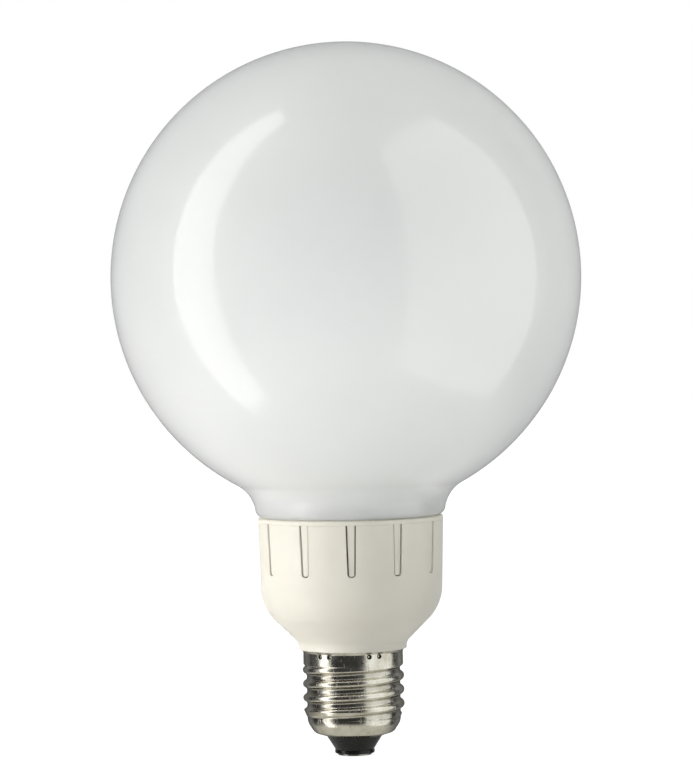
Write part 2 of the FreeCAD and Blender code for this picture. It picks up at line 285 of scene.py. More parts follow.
def opalGlassMaterial():
    finish = Finish("opalGlass", {
        "IOR": 1.5, "Subsurface Weight": 0.75, "Subsurface Radius": (1, 1, 1), "Subsurface Scale": 0.03,
        "Coat Weight": 1.0, "Coat Roughness": 0.02, "Coat IOR": 1.5,
    })
    cloud = finish.uneven(opalGlass["cloudScale"], 0, 1)
    finish.feed(finish.blend(cloud, opalGlass["color"], opalGlass["cloud"]), "Base Color")
    finish.feed(finish.uneven(opalGlass["roughnessScale"], *opalGlass["roughness"]), "Roughness")
    ripple = finish.grain(opalGlass["rippleScale"], opalGlass["ripple"], detail=1.0)
    finish.feed(ripple, "Normal")
    finish.feed(ripple, "Coat Normal")
    return finish.material


def housingMaterial():
    finish = Finish("housingPlastic", {"IOR": 1.5})
    mottle = finish.uneven(housingPlastic["shadeScale"], 0, 1, detail=5.0)
    color = finish.blend(mottle, housingPlastic["color"], housingPlastic["shade"])
    # painted shade: the wall sunk inside each slot is coloured near black
    shadeAndTarnish = finish.shadeAndTarnish(housingPlastic["shadeAndTarnishShare"])
    finish.feed(finish.blend(shadeAndTarnish, color, housingPlastic["shadeAndTarnish"]), "Base Color")
    finish.surface(housingPlastic)
    return finish.material


def platedMaterial():
    # streaks run round the axis, as the rolling left them, and scuffs run along it
    finish = Finish("platedSheet", {"Metallic": 1.0, "Specular Tint": (0.3, 0.3, 0.29, 1)})
    stain = finish.uneven(platedSheet["stainScale"], *platedSheet["stainRange"], detail=6.0)
    color = finish.blend(stain, platedSheet["color"], platedSheet["stain"])
    # painted shade rings in the punch marks, and tarnish at the root of the thread
    shadeAndTarnish = finish.shadeAndTarnish(platedSheet["shadeAndTarnishShare"])
    finish.feed(finish.blend(shadeAndTarnish, color, platedSheet["shadeAndTarnish"]), "Base Color")
    base = finish.uneven(platedSheet["roughnessScale"], *platedSheet["roughness"], detail=4.0)
    rings = finish.stretched(platedSheet["streakScale"])
    streaks = finish.uneven(1.0, *platedSheet["streakRange"], detail=3.0, vector=rings)
    upright = finish.stretched(platedSheet["scuffScale"])
    scuffs = finish.uneven(1.0, *platedSheet["scuffRange"], detail=5.0, vector=upright)
    worn = finish.combine('MAXIMUM', scuffs, 0)
    finish.feed(finish.combine('ADD', worn, finish.combine('ADD', base, streaks)), "Roughness")
    finish.feed(finish.grain(platedSheet["dentScale"], platedSheet["dent"], detail=3.0), "Normal")
    return finish.material


def insulatorMaterial():
    finish = Finish("blackInsulator", {"IOR": 1.52, "Specular IOR Level": 0.3})
    dust = finish.uneven(blackGlass["dustScale"], *blackGlass["dustRange"], detail=6.0)
    finish.feed(finish.blend(dust, blackGlass["color"], blackGlass["dust"]), "Base Color")
    finish.surface(blackGlass)
    return finish.material


def contactMaterial():
    finish = Finish("contactPlate", {"Metallic": 1.0})
    worn = finish.uneven(contactPlate["shadeScale"], 0, 1, detail=5.0)
    finish.feed(finish.blend(worn, contactPlate["color"], contactPlate["shade"]), "Base Color")
    finish.surface(contactPlate)
    return finish.material


def solderMaterial():
    finish = Finish("solderTin", {"Metallic": 1.0})
    dull = finish.uneven(tinSolder["shadeScale"], 0, 1)
    finish.feed(finish.blend(dull, tinSolder["color"], tinSolder["shade"]), "Base Color")
    finish.surface(tinSolder)
    return finish.material


def cementMaterial():
    finish = Finish("jointCement", {"IOR": 1.45})
    mottle = finish.uneven(jointCement["shadeScale"], 0, 1, detail=5.0)
    finish.feed(finish.blend(mottle, jointCement["color"], jointCement["shade"]), "Base Color")
    finish.surface(jointCement, detail=4.0)
    return finish.material


plastic = housingMaterial()
nickel = platedMaterial()
print("materials made")


# Opal globe, its neck and the foot in the cement
globe = {"neckRadius": 24.7, "footRounding": 2.3, "blendRadius": 9.0, "jointGap": 0.05, "footStep": 2.1,
         "footLength": 5.0, "aroundSteps": 240, "sphereSteps": 110, "blendSteps": 14, "footSteps": 14}
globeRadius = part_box("globe")[1].x / mm
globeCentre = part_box("globe")[1].z / mm - globeRadius
glassBase = holderTop + globe["jointGap"]


def buildGlobe():
    footCentre = Vector((globe["neckRadius"] - globe["footRounding"], glassBase + globe["footRounding"]))
    centre = Vector((0, globeCentre))
    far = globeRadius + globe["blendRadius"]
    near = globe["footRounding"] + globe["blendRadius"]
    span = (footCentre - centre).length
    along = (far ** 2 - near ** 2 + span ** 2) / (2 * span)
    aside = math.sqrt(far ** 2 - along ** 2)
    down = (footCentre - centre).normalized()
    blendCentre = centre + down * along + Vector((-down.y, down.x)) * aside
    onSphere = centre + (blendCentre - centre).normalized() * globeRadius
    onFoot = footCentre + (blendCentre - footCentre).normalized() * globe["footRounding"]
    footRadius = footCentre.x - globe["footStep"]
    footEnd = glassBase - globe["footLength"]
    bm = bmesh.new()
    vert = bm.verts.new((0, 0, (globeCentre + globeRadius) * mm))
    vert = drawArc(bm, vert, centre, onSphere, globe["sphereSteps"])
    vert = drawArc(bm, vert, blendCentre, onFoot, globe["blendSteps"])
    vert = drawArc(bm, vert, footCentre, (footCentre.x, glassBase), globe["footSteps"])
    for end in ((footRadius, glassBase), (footRadius, footEnd), (0, footEnd)):
        vert = drawLine(bm, vert, end)
    turnRound(bm, set(), globe["aroundSteps"])
    closeSeams(bm)
    return makePiece("opalGlobe", bm, opalGlassMaterial(), "globe")


buildGlobe()
print("globe built")


# Cement round the glass foot, with the bead that fills the joint outside it
cement = {"footFloor": 57.05, "cupFloor": 56.65, "cupRadius": 20.7, "footRadius": 20.3, "footChamfer": 0.8,
          "beadRadius": 23.35, "beadHeight": 0.24, "beadBulge": 0.02, "beadRounding": 0.05,
          "beadWidth": 0.6, "beadLap": 0.02, "aroundSteps": 240}


def buildCement():
    gap = globe["jointGap"]
    seatHeight = holderTop + gap / 5
    turnedPiece("jointCement", [
        (0, cement["cupFloor"], 0),
        (cement["cupRadius"], cement["cupFloor"], 0),
        (cement["cupRadius"], seatHeight, 0),
        (cement["beadRadius"], seatHeight, 0),
        (cement["beadRadius"] + cement["beadBulge"], holderTop + cement["beadHeight"],
         cement["beadRounding"]),
        (cement["beadRadius"] - cement["beadWidth"], holderTop + gap + cement["beadLap"], 0),
        (cement["footRadius"], holderTop + gap / 2, 0),
        (cement["footRadius"], cement["footFloor"] + cement["footChamfer"], 0),
        (cement["footRadius"] - cement["footChamfer"], cement["footFloor"], 0),
        (0, cement["footFloor"], 0),
    ], cement["aroundSteps"], cementMaterial(), "globe_cement")


buildCement()
print("cement built")


# Ballast housing: slotted wall, then shoulder, cone and spigot
housing = {"draft": 1.8, "shoulderRounding": 11.0, "coneAngle": 45.0, "neckRadius": 14.0, "neckHeight": 1.65,
           "neckRounding": 2.4, "neckEdge": 0.15, "rimChamfer": 0.12, "mouthRadius": 21.35,
           "mouthFloor": 55.05, "spigotRadius": 11.7, "spigotLength": 13.0, "spigotEdge": 0.6,
           "arcStep": 3.0, "aroundSteps": 360}
slots = {"count": 12, "length": 13.25, "topHalf": 1.315, "endHalf": 1.015, "endRounding": 0.78, "edge": 0.1,
         "back": 21.45, "patchEnd": 44.5, "crowding": 1.5}
fingers = {"length": 13.0, "topHalf": 0.985, "endHalf": 0.685, "endRounding": 0.45, "edge": 0.12,
           "back": 21.65, "recess": 0.3, "sunkTop": 0.5}
uSteps = {"side": 16, "corner": 8, "end": 7, "edge": 4, "outward": 13}
wallLean = math.tan(math.radians(housing["draft"]))


def wallRadius(height):
    return housingRadius - wallLean * (seamHeight - height)


def slotOutline(values, topHeight):
    # right half of a U from its top to the middle of its end: spots, each with its way outward
    endHeight = seamHeight - values["length"]
    lean = math.atan((values["topHalf"] - values["endHalf"]) / values["length"])
    top = Vector((values["topHalf"] + math.tan(lean) * (topHeight - seamHeight), topHeight))
    corner = Vector((values["endHalf"], endHeight))
    reach = values["endRounding"] / math.tan((math.pi / 2 + lean) / 2)
    sideEnd = corner + Vector((math.sin(lean), math.cos(lean))) * reach
    centre = sideEnd - Vector((math.cos(lean), -math.sin(lean))) * values["endRounding"]
    points = []
    for i in range(uSteps["side"]):
        spot = top.lerp(sideEnd, i / uSteps["side"])
        points.append((spot, Vector((math.cos(lean), -math.sin(lean)))))
    for i in range(uSteps["corner"]):
        angle = -lean - (math.pi / 2 - lean) * i / uSteps["corner"]
        outward = Vector((math.cos(angle), math.sin(angle)))
        points.append((centre + outward * values["endRounding"], outward))
    for i in range(uSteps["end"] + 1):
        spot = Vector((centre.x * (1 - i / uSteps["end"]), endHeight))
        points.append((spot, Vector((0, -1))))
    return points


def wholeOutline(half):
    # the left half is the mirrored right half, and both share the middle of the end
    left = [(Vector((-spot.x, spot.y)), Vector((-out.x, out.y))) for spot, out in half]
    return left + half[-2::-1]


def blockVert(bm, across, height, depth, recess=0.0):
    # a point this far across a slot that points along +X, and this deep under the wall
    radius = wallRadius(height) - recess
    return bm.verts.new(((math.sqrt(radius ** 2 - across ** 2) - depth) * mm, across * mm, height * mm))


def wallVert(bm, angle, height, sunk=0.0):
    radius = (wallRadius(height) - sunk) * mm
    return bm.verts.new((radius * math.cos(angle), radius * math.sin(angle), height * mm))


def joinRows(bm, rows):
    for upper, lower in zip(rows, rows[1:]):
        for a, b, c, d in zip(upper, upper[1:], lower[1:], lower):
            bm.faces.new((a, b, c, d))


def slotSector(bm):
    # one slot with the wall round it, pointing along +X
    count = uSteps["side"]
    half = math.pi / slots["count"]
    rimHeight = seamHeight - housing["rimChamfer"]
    outline = wholeOutline(slotOutline(slots, rimHeight))
    last = len(outline) - 1
    rows = []
    for k, (spot, out) in enumerate(outline):
        if k <= count:
            border = Vector((-half, rimHeight + (slots["patchEnd"] - rimHeight) * k / count))
        elif k >= last - count:
            border = Vector((half, rimHeight + (slots["patchEnd"] - rimHeight) * (last - k) / count))
        else:
            border = Vector((-half + 2 * half * (k - count) / (last - 2 * count), slots["patchEnd"]))
        back = bm.verts.new((slots["back"] * mm, spot.x * mm, spot.y * mm))
        row = [back]
        for i in range(uSteps["edge"], -1, -1):
            turn = math.pi / 2 * i / uSteps["edge"]
            moved = spot + out * slots["edge"] * (1 - math.sin(turn))
            height = min(moved.y, rimHeight)
            row.append(blockVert(bm, moved.x, height, slots["edge"] * (1 - math.cos(turn))))
        edge = spot + out * slots["edge"]
        edge = Vector((math.asin(edge.x / wallRadius(edge.y)), min(edge.y, rimHeight)))
        for i in range(1, uSteps["outward"] + 1):
            share = (i / uSteps["outward"]) ** slots["crowding"]
            between = edge.lerp(border, share)
            row.append(wallVert(bm, between.x, between.y))
        rows.append(row)
    joinRows(bm, rows)
    middle = last // 2
    backs = [row[0] for row in rows]
    joinRows(bm, [backs[:middle], backs[:middle:-1]])
    bm.faces.new((backs[middle - 1], backs[middle], backs[middle + 1]))
    # the rim's chamfer, its flat top and the mouth behind it
    rim = rows[0][::-1] + rows[-1]
    backAngle = math.atan2(rows[-1][0].co.y, rows[-1][0].co.x)
    chamfer = []
    mouth = []
    floor = []
    for vert in rim:
        angle = math.atan2(vert.co.y, vert.co.x)
        radius = vert.co.xy.length - housing["rimChamfer"] * mm * (abs(angle) > backAngle)
        chamfer.append(bm.verts.new((radius * math.cos(angle), radius * math.sin(angle), seamHeight * mm)))
        angle = math.copysign(max(abs(angle), backAngle), angle)
        inner = housing["mouthRadius"] * mm
        for ring, height in ((mouth, seamHeight), (floor, housing["mouthFloor"])):
            ring.append(bm.verts.new((inner * math.cos(angle), inner * math.sin(angle), height * mm)))
    joinRows(bm, [rim, chamfer, mouth, floor])
    centre = bm.verts.new((0, 0, housing["mouthFloor"] * mm))
    for a, b in zip(floor, floor[1:]):
        bm.faces.new((a, b, centre))


def buildHousing():
    bm = bmesh.new()
    slotSector(bm)
    copyRound(bm, set(), slots["count"])
    wall = set(bm.verts)
    coneHeight = capTop + housing["neckHeight"]
    rise = 1 / math.tan(math.radians(housing["coneAngle"]))
    drop = (housingRadius - housing["neckRadius"] - wallLean * (seamHeight - coneHeight)) / (rise - wallLean)
    spigotEnd = capTop - housing["spigotLength"]
    drawOutline(bm, [
        (wallRadius(slots["patchEnd"]), slots["patchEnd"], 0),
        (housing["neckRadius"] + drop * rise, coneHeight + drop, housing["shoulderRounding"]),
        (housing["neckRadius"], coneHeight, housing["neckRounding"]),
        (housing["neckRadius"], capTop, housing["neckEdge"]),
        (housing["spigotRadius"], capTop, 0),
        (housing["spigotRadius"], spigotEnd, housing["spigotEdge"]),
        (0, spigotEnd, 0),
    ], housing["arcStep"])
    turnRound(bm, wall, housing["aroundSteps"])
    closeSeams(bm)

    # painted shade: every point inside a slot that is sunk deeper than the slot's edge gets the full dark
    # colour
    def slotShade(radius, height):
        inSlot = slots["patchEnd"] < height < seamHeight - housing["rimChamfer"] / 2
        return 1.0 if inSlot and radius < wallRadius(height) - 2 * slots["edge"] else 0.0

    return makePiece("ballastHousing", bm, plastic, "ballast_housing", shadeAndTarnishAt=slotShade)


buildHousing()
print("housing built")


# Holder of the globe: flange, plug and snap fingers
holder = {"flangeRounding": 0.45, "flangeEdge": 0.1, "socketRadius": 20.7, "socketFloor": 56.65,
          "socketEdge": 0.1, "plugRadius": 21.25, "plugEnd": 55.1, "aroundSteps": 360}


def fingerBlock(bm):
    outline = wholeOutline(slotOutline(fingers, seamHeight + fingers["sunkTop"]))
    middle = len(outline) // 2
    rows = []
    for spot, out in outline:
        row = [bm.verts.new((fingers["back"] * mm, spot.x * mm, spot.y * mm))]
        for i in range(uSteps["edge"] + 1):
            turn = math.pi / 2 * (1 - i / uSteps["edge"])
            moved = spot - out * fingers["edge"] * (1 - math.sin(turn))
            depth = fingers["edge"] * (1 - math.cos(turn))
            row.append(blockVert(bm, moved.x, moved.y, depth, fingers["recess"]))
        rows.append(row)
    joinRows(bm, rows)
    backs = [row[0] for row in rows]
    fronts = [row[-1] for row in rows]
    joinRows(bm, [backs[:middle], backs[:middle:-1]])
    bm.faces.new((backs[middle - 1], backs[middle], backs[middle + 1]))
    # the front follows the wall in four columns
    columns = [fronts[:middle + 1]]
    for share in (0.25, 0.5, 0.75):
        column = []
        for left, right in zip(fronts[:middle + 1], fronts[:middle - 1:-1]):
            across = (left.co.y + (right.co.y - left.co.y) * share) / mm
            column.append(blockVert(bm, across, left.co.z / mm, 0, fingers["recess"]))
        columns.append(column)
    columns.append(fronts[:middle - 1:-1])
    joinRows(bm, columns)
    bm.faces.new([*rows[0], *[column[0] for column in columns[1:-1]], *rows[-1][::-1]])


def buildHolder():
    bm = bmesh.new()
    fingerBlock(bm)
    copyRound(bm, set(), slots["count"])
    fingerVerts = set(bm.verts)
    drawOutline(bm, [
        (0, holder["socketFloor"], 0),
        (holder["socketRadius"], holder["socketFloor"], 0),
        (holder["socketRadius"], holderTop, holder["socketEdge"]),
        (housingRadius, holderTop, holder["flangeRounding"]),
        (housingRadius, seamHeight, holder["flangeEdge"]),
        (holder["plugRadius"], seamHeight, 0),
        (holder["plugRadius"], holder["plugEnd"], 0),
        (0, holder["plugEnd"], 0),
    ])
    turnRound(bm, fingerVerts, holder["aroundSteps"])
    closeSeams(bm)
    return makePiece("globeHolder", bm, plastic, "globe_holder")


buildHolder()
print("holder built")


# Screw shell: thin sheet with a rolled thread, a flared rim and punch marks
shell = {"sheet": 0.3, "minorRadius": 12.1, "skirtRadius": 12.94, "skirtFoot": 23.4, "skirtSlope": 0.3,
         "skirtBlend": 0.55, "flareHeight": 0.7, "flareRounding": 0.45, "bandEnd": 8.67, "bandRounding": 3.0,
         "baseRadius": 10.35, "baseHeight": 5.95, "baseRounding": 1.8, "mouthRadius": 7.25,
         "outsideArcStep": 4.0, "insideArcStep": 12.0, "aroundSteps": 360, "rowHeight": 0.16, "fewCuts": 3}
thread = {"pitch": 3.629, "majorRadius": 13.15, "rootRadius": 12.07, "crestHeight": 13.2, "start": 9.8,
          "fullFrom": 12.2, "fullTo": 22.4, "end": 23.7, "soften": 0.06, "reachBelow": 1.0, "reachAbove": 0.5,
          "tarnish": 0.22, "tarnishDepth": 0.15, "tarnishGap": 1.0}
# the last value sets how strong the painted shade ring round the wall of each punch mark is
stakes = {"pairs": 6, "firstAngle": -65.0, "spread": 6.3, "radius": 0.66, "depth": 0.48, "belowTop": 1.27,
          "finerWithin": 1.0, "ringShade": 9}
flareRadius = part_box("screw_shell")[1].x / mm
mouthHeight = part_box("screw_shell")[0].z / mm
threadDepth = thread["majorRadius"] - thread["rootRadius"]
threadRounding = ((thread["pitch"] / 2) ** 2 + threadDepth ** 2) / (4 * threadDepth)


def sheetInside(corners, wall):
    # the outline moved inwards by the sheet, with its corners mitred
    moved = []
    for i, corner in enumerate(corners):
        here = Vector(corner[:2])
        runs = []
        if i:
            runs.append((here - Vector(corners[i - 1][:2])).normalized())
        if i < len(corners) - 1:
            runs.append((Vector(corners[i + 1][:2]) - here).normalized())
        sides = [Vector((run.y, -run.x)) for run in runs]
        mean = sum(sides, Vector((0, 0))).normalized()
        spot = here + mean * (wall / mean.dot(sides[0]))
        moved.append((spot.x, spot.y, corner[2]))
    return moved


def threadRadius(angle, height):
    # round thread: a crest arc between two root arcs, right-hand, fading in below and out above
    turnShare = (height - thread["crestHeight"]) / thread["pitch"] - angle / (2 * math.pi)
    off = abs((turnShare + 0.5) % 1 - 0.5) * thread["pitch"]
    if off < thread["pitch"] / 4:
        radius = thread["majorRadius"] - threadRounding + math.sqrt(threadRounding ** 2 - off ** 2)
    else:
        off = thread["pitch"] / 2 - off
        radius = thread["rootRadius"] + threadRounding - math.sqrt(threadRounding ** 2 - off ** 2)
    rise = (height - thread["start"]) / (thread["fullFrom"] - thread["start"])
    fall = (thread["end"] - height) / (thread["end"] - thread["fullTo"])
    low = shell["minorRadius"] + (thread["majorRadius"] - shell["minorRadius"]) * rise
    high = shell["skirtRadius"] + (thread["majorRadius"] - shell["skirtRadius"]) * fall
    return min(radius, low, high)


def rollThread(verts):
    for vert in verts:
        radius = vert.co.xy.length / mm
        angle = math.atan2(vert.co.y, vert.co.x)
        gap = threadRadius(angle, vert.co.z / mm) - radius
        raised = radius + (gap + math.sqrt(gap ** 2 + thread["soften"] ** 2)) / 2
        vert.co.xy *= raised / radius


def punchStakes(bm):
    # each mark is a ball pressed into the sheet, from outside through to the inside
    height = capTop - stakes["belowTop"]
    centreRadius = shell["skirtRadius"] - stakes["depth"] + stakes["radius"]
    for pair in range(stakes["pairs"]):
        for side in (-1, 1):
            angle = stakes["firstAngle"] + 360 * pair / stakes["pairs"] + side * stakes["spread"]
            turn = Matrix.Rotation(math.radians(angle), 3, 'Z')
            centre = turn @ Vector((centreRadius * mm, 0, height * mm))

            def near(spot):
                return (spot - centre).length < stakes["finerWithin"] * mm

            edges = [edge for edge in bm.edges if near((edge.verts[0].co + edge.verts[1].co) / 2)]
            cut = bmesh.ops.subdivide_edges(bm, edges=edges, cuts=2, use_grid_fill=True)
            for vert in {item for item in cut["geom_inner"] if isinstance(item, bmesh.types.BMVert)}:
                outer = vert.co.xy.length > (shell["skirtRadius"] - shell["sheet"] / 2) * mm
                wall = shell["skirtRadius"] - (0 if outer else shell["sheet"])
                vert.co.xy *= wall * mm / vert.co.xy.length
            for vert in bm.verts:
                if not near(vert.co):
                    continue
                outer = vert.co.xy.length > (shell["skirtRadius"] - shell["sheet"] / 2) * mm
                ball = (stakes["radius"] + (0 if outer else shell["sheet"])) * mm
                spot = turn.inverted() @ vert.co
                left = ball ** 2 - spot.y ** 2 - (spot.z - height * mm) ** 2
                if left > 0:
                    spot.x = min(spot.x, centreRadius * mm - math.sqrt(left))
                    vert.co = turn @ spot


def buildShell():
    outside = [
        (flareRadius, capTop, 0),
        (shell["skirtRadius"], capTop - shell["flareHeight"], shell["flareRounding"]),
        (shell["skirtRadius"], shell["skirtFoot"] + shell["skirtSlope"], shell["skirtBlend"]),
        (shell["minorRadius"], shell["skirtFoot"] - shell["skirtSlope"], shell["skirtBlend"]),
        (shell["minorRadius"], shell["bandEnd"], shell["bandRounding"]),
        (shell["baseRadius"], shell["baseHeight"], shell["baseRounding"]),
        (shell["mouthRadius"], mouthHeight, 0),
    ]
    inside = sheetInside(outside, shell["sheet"])
    bm = bmesh.new()
    drawOutline(bm, outside, shell["outsideArcStep"])
    # rows for the thread on the plain run, and for the punch marks on the skirt
    for edge in bm.edges[:]:
        heights = sorted(vert.co.z / mm for vert in edge.verts)
        cuts = round((heights[1] - heights[0]) / shell["rowHeight"]) - 1
        if cuts > shell["fewCuts"] and heights[1] > thread["start"]:
            bmesh.ops.subdivide_edges(bm, edges=[edge], cuts=cuts)
    turnRound(bm, set(), shell["aroundSteps"])
    bmesh.ops.remove_doubles(bm, verts=bm.verts, dist=mergeDistance)
    lowest = thread["start"] - thread["reachBelow"]
    highest = thread["end"] + thread["reachAbove"]
    rollThread([vert for vert in bm.verts if lowest < vert.co.z / mm < highest])
    outer = set(bm.verts)
    corners = [outside[0], inside[0]] + inside[1:] + [inside[-1], outside[-1]]
    drawOutline(bm, corners, shell["insideArcStep"])
    turnRound(bm, outer, shell["aroundSteps"])
    closeSeams(bm)
    punchStakes(bm)
    bmesh.ops.recalc_face_normals(bm, faces=bm.faces)

    def sheetShadeAndTarnish(radius, height):
        # painted shade rings on the walls of the punch marks, and a little tarnish at the root of the thread
        if abs(height - capTop + stakes["belowTop"]) < stakes["radius"]:
            share = min(max((shell["skirtRadius"] - radius) / stakes["depth"], 0), 1)
            return min(1, stakes["ringShade"] * share * (1 - share))
        atRoot = radius < shell["minorRadius"] + thread["tarnishDepth"]
        rolled = shell["bandEnd"] + thread["tarnishGap"] < height < thread["end"]
        return thread["tarnish"] if atRoot and rolled else 0

    return makePiece("screwShell", bm, nickel, "screw_shell", shadeAndTarnishAt=sheetShadeAndTarnish)


buildShell()
print("screw shell built")


# Insulator, contact plate and solder at the foot of the cap
foot = {"insulatorNeck": 5.0, "neckRounding": 0.4, "lipRadius": 5.15, "lipHeight": 0.85, "lipRounding": 0.3,
        "seatTaper": 0.09, "flangeThickness": 2.0, "contactRadius": 4.4, "contactThickness": 0.45,
        "contactRounding": 0.15, "contactBackEdge": 0.05, "boreRadius": 0.8, "boreChamfer": 0.05,
        "stemRadius": 1.3, "headRadius": 2.3, "headThickness": 0.35, "steps": 180}
solder = {"recess": 0.12, "height": 3.0, "domeTop": 0.02, "shoulderShare": 0.6, "shoulder": 0.05,
          "shoulderRounding": 0.3, "rim": 0.2, "steps": 48}


def buildFoot():
    thick = foot["contactThickness"]
    lipTop = thick + foot["lipHeight"]
    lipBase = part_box("cap_insulator")[0].z / mm + foot["lipHeight"]
    neckHeight = lipBase + foot["lipRadius"] - foot["insulatorNeck"]
    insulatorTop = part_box("cap_insulator")[1].z / mm
    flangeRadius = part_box("cap_insulator")[1].x / mm
    mouth = shell["mouthRadius"]
    turnedPiece("capInsulator", [
        (foot["stemRadius"], insulatorTop, 0),
        (foot["stemRadius"], thick, 0),
        (foot["lipRadius"], thick, foot["lipRounding"]),
        (foot["lipRadius"], lipTop, foot["lipRounding"]),
        (foot["insulatorNeck"], neckHeight, foot["neckRounding"]),
        (mouth, mouthHeight, 0),
        (mouth - foot["seatTaper"], mouthHeight + shell["sheet"], 0),
        (flangeRadius, insulatorTop - foot["flangeThickness"], 0),
        (flangeRadius, insulatorTop, 0),
        (foot["stemRadius"], insulatorTop, 0),
    ], foot["steps"], insulatorMaterial(), "cap_insulator")
    turnedPiece("centreContact", [
        (foot["boreRadius"], foot["boreChamfer"], 0),
        (foot["boreRadius"] + foot["boreChamfer"], 0, 0),
        (foot["contactRadius"], 0, foot["contactRounding"]),
        (foot["contactRadius"], thick, foot["contactBackEdge"]),
        (foot["stemRadius"], thick, 0),
        (foot["stemRadius"], insulatorTop, 0),
        (foot["headRadius"], insulatorTop, 0),
        (foot["headRadius"], insulatorTop + foot["headThickness"], 0),
        (foot["boreRadius"], insulatorTop + foot["headThickness"], 0),
        (foot["boreRadius"], foot["boreChamfer"], 0),
    ], foot["steps"], contactMaterial(), "centre_contact")
    turnedPiece("contactSolder", [
        (0, solder["recess"] + solder["domeTop"], 0),
        (foot["boreRadius"] * solder["shoulderShare"], solder["recess"] + solder["shoulder"],
         solder["shoulderRounding"]),
        (foot["boreRadius"], solder["recess"] + solder["rim"], 0),
        (foot["boreRadius"], solder["recess"] + solder["height"], 0),
        (0, solder["recess"] + solder["height"], 0),
    ], solder["steps"], solderMaterial(), "contact_solder")


buildFoot()
print("foot of the cap built")


# Stage: floor, lamps and world
studio = {"floorSize": 6.0, "floorColor": (0.8, 0.8, 0.8, 1), "floorGlow": 0.92, "floorShadowShare": 0.25,
          "room": (0.04, 0.04, 0.04, 1)}
roomParts = {
    "ceiling": {"toward": (0, 0, 1), "full": 10, "none": 55, "color": (0.47, 0.47, 0.45, 1)},
    "backdrop": {"toward": (0, 1, 0), "full": 36, "none": 66, "color": (0.3, 0.3, 0.31, 1)},
    "ground": {"toward": (-0.06, 0, -1), "full": 45, "none": 68, "color": (0.55, 0.54, 0.48, 1)},
    "halo": {"toward": (-0.3, 1, 0), "full": 20, "none": 90, "color": (1.0, 1.0, 1.0, 1), "onlyLights": True},
    "fill": {"toward": (0, 0, 1), "full": 90, "none": 100, "color": (0.38, 0.39, 0.39, 1),
             "onlyLights": True},
}


def floorMaterial():
    finish = Finish("paleFloor", {"Base Color": studio["floorColor"], "Roughness": 0.9,
                                  "Specular IOR Level": 0.1})
    nodes = finish.nodes
    links = finish.links
    path = nodes.new("ShaderNodeLightPath")
    shade = nodes.new("ShaderNodeBsdfDiffuse")
    shade.inputs["Color"].default_value = [studio["floorShadowShare"]] * 3 + [1]
    glow = nodes.new("ShaderNodeEmission")
    glow.inputs["Strength"].default_value = studio["floorGlow"]
    seen = nodes.new("ShaderNodeAddShader")
    mix = nodes.new("ShaderNodeMixShader")
    links.new(shade.outputs[0], seen.inputs[0])
    links.new(glow.outputs[0], seen.inputs[1])
    links.new(path.outputs["Is Camera Ray"], mix.inputs["Fac"])
    links.new(finish.shader.outputs[0], mix.inputs[1])
    links.new(seen.outputs[0], mix.inputs[2])
    links.new(mix.outputs[0], nodes["Material Output"].inputs["Surface"])
    return finish.material


def buildFloor():
    bm = bmesh.new()
    bmesh.ops.create_grid(bm, x_segments=8, y_segments=8, size=studio["floorSize"] / 2)
    mesh = bpy.data.meshes.new("floor")
    bm.to_mesh(mesh)
    bm.free()
    floor = bpy.data.objects.new("floor", mesh)
    scene.collection.objects.link(floor)
    mesh.materials.append(floorMaterial())
    floor.visible_glossy = False


# the strip and the panel are seen in reflections, and the soft lamps only light
lamps = {
    "keyStrip": {"place": (-0.327, -0.085, 0.335), "aim": (0, -0.085, 0.335), "lean": 6.0, "spread": 180,
                 "size": (0.145, 1.36), "radiance": 2.0, "color": (1.0, 0.985, 0.955), "mirrored": True},
    "rightPanel": {"place": (0.405, -0.195, 0.37), "aim": (0, 0, 0.37), "lean": 0.0, "spread": 180,
                   "size": (0.657, 1.44), "radiance": 0.97, "color": (0.98, 1.0, 0.96), "mirrored": True},
    "leftLow": {"place": (-0.325, -0.12, 0.06), "aim": (0, 0, 0.03), "lean": 0.0, "spread": 30,
                "size": (0.1, 0.1), "radiance": 0.62, "color": (1.0, 0.97, 0.94), "mirrored": False},
    "leftSide": {"place": (-0.6, -0.25, 0.25), "aim": (0, 0, 0.12), "lean": 0.0, "spread": 40,
                 "size": (0.15, 0.15), "radiance": 0.27, "color": (1.0, 1.0, 0.99), "mirrored": False},
    "leftWide": {"place": (-0.6, -0.08, 0.16), "aim": (0, 0, 0.1), "lean": 0.0, "spread": 180,
                 "size": (0.2, 0.4), "radiance": 2.5, "color": (1.0, 1.0, 1.0), "mirrored": False},
    "globeFill": {"place": (-0.2, -0.7, 0.4), "aim": (0, 0, 0.17), "lean": 0.0, "spread": 22,
                  "size": (0.1, 0.1), "radiance": 0.36, "color": (1.0, 0.985, 0.99), "mirrored": False},
    "lowFill": {"place": (0.0, -0.6, 0.012), "aim": (0, 0, 0.105), "lean": 0.0, "spread": 16,
                "size": (0.05, 0.05), "radiance": 0.85, "color": (1.0, 1.0, 1.0), "mirrored": False},
    "rightLow": {"place": (0.4, -0.25, 0.012), "aim": (0, 0, 0.1), "lean": 0.0, "spread": 16,
                 "size": (0.1, 0.1), "radiance": 0.14, "color": (1.0, 1.0, 1.0), "mirrored": False},
    "rightBack": {"place": (0.5, 0.16, 0.3), "aim": (0, 0, 0.17), "lean": 0.0, "spread": 30,
                  "size": (0.15, 0.15), "radiance": 0.5, "color": (0.97, 1.0, 0.94), "mirrored": False},
}


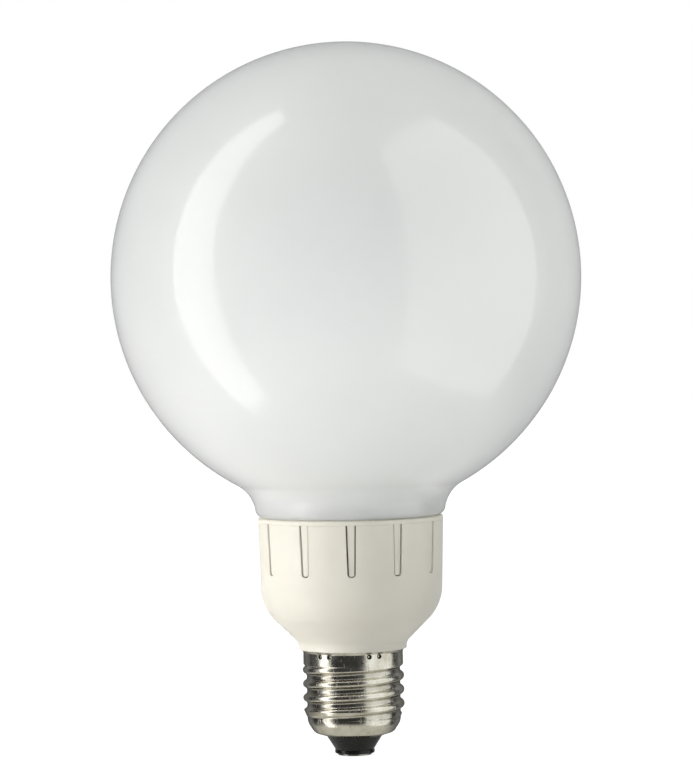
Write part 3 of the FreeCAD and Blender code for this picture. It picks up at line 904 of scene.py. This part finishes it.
def buildLamp(name, values):
    width, height = values["size"]
    light = bpy.data.lights.new(name, 'AREA')
    light.shape = 'RECTANGLE'
    light.size = width
    light.size_y = height
    light.spread = math.radians(values["spread"])
    light.color = values["color"]
    light.energy = values["radiance"] * math.pi * width * height
    lamp = bpy.data.objects.new(name, light)
    toward = Vector(values["aim"]) - Vector(values["place"])
    turn = toward.to_track_quat('-Z', 'Y').to_matrix().to_4x4()
    lean = Matrix.Rotation(math.radians(values["lean"]), 4, 'Z')
    lamp.matrix_world = Matrix.Translation(values["place"]) @ turn @ lean
    lamp.visible_camera = False
    lamp.visible_glossy = values["mirrored"]
    lamp.visible_diffuse = not values["mirrored"]
    scene.collection.objects.link(lamp)


def buildWorld():
    # the camera sees white; light and reflections come from a dark room with soft bright parts
    world = bpy.data.worlds.new("studio")
    scene.world = world
    world.use_nodes = True
    nodes = world.node_tree.nodes
    links = world.node_tree.links
    direction = nodes.new("ShaderNodeTexCoord").outputs["Generated"]
    path = nodes.new("ShaderNodeLightPath")
    color = nodes.new("ShaderNodeRGB").outputs[0]
    color.default_value = studio["room"]
    for label, part in roomParts.items():
        along = nodes.new("ShaderNodeVectorMath")
        along.operation = 'DOT_PRODUCT'
        along.inputs[1].default_value = Vector(part["toward"]).normalized()
        links.new(direction, along.inputs[0])
        share = nodes.new("ShaderNodeMapRange")
        share.interpolation_type = 'SMOOTHSTEP'
        share.inputs["From Min"].default_value = math.cos(math.radians(part["none"]))
        share.inputs["From Max"].default_value = math.cos(math.radians(part["full"]))
        links.new(along.outputs["Value"], share.inputs["Value"])
        if part.get("onlyLights"):
            links.new(path.outputs["Is Diffuse Ray"], share.inputs["To Max"])
        blend = nodes.new("ShaderNodeMix")
        blend.data_type = 'RGBA'
        blend.blend_type = 'ADD'
        blend.label = label
        first, second = [socket for socket in blend.inputs if socket.type == 'RGBA']
        second.default_value = part["color"]
        links.new(share.outputs["Result"], blend.inputs["Factor"])
        links.new(color, first)
        color = [socket for socket in blend.outputs if socket.type == 'RGBA'][0]
    room = nodes["Background"]
    links.new(color, room.inputs["Color"])
    white = nodes.new("ShaderNodeBackground")
    white.inputs["Color"].default_value = (1, 1, 1, 1)
    mix = nodes.new("ShaderNodeMixShader")
    links.new(path.outputs["Is Camera Ray"], mix.inputs["Fac"])
    links.new(room.outputs[0], mix.inputs[1])
    links.new(white.outputs[0], mix.inputs[2])
    links.new(mix.outputs[0], nodes["World Output"].inputs["Surface"])


buildFloor()
for name, values in lamps.items():
    buildLamp(name, values)
buildWorld()
print("stage set")


# Camera, as far away and as high as the photograph's
view = {"distance": 0.98, "eyeHeight": 0.1196, "aside": -0.0005, "focalPixels": 3780, "pictureHeight": 770,
        "eyeLine": 294, "rollDeg": 1.1, "sensor": 24.0, "clipStart": 0.01}


def buildCamera():
    data = bpy.data.cameras.new("camera")
    data.sensor_fit = 'VERTICAL'
    data.sensor_height = view["sensor"]
    data.lens = view["focalPixels"] * view["sensor"] / view["pictureHeight"]
    data.clip_start = view["clipStart"]
    camera = bpy.data.objects.new("camera", data)
    dip = math.atan((view["pictureHeight"] / 2 - view["eyeLine"]) / view["focalPixels"])
    roll = Matrix.Rotation(math.radians(-view["rollDeg"]), 4, 'Z')
    turn = Matrix.Rotation(math.pi / 2 - dip, 4, 'X') @ roll
    camera.matrix_world = Matrix.Translation((view["aside"], -view["distance"], view["eyeHeight"])) @ turn
    scene.collection.objects.link(camera)
    scene.camera = camera


buildCamera()
scene.view_settings.view_transform = 'Standard'
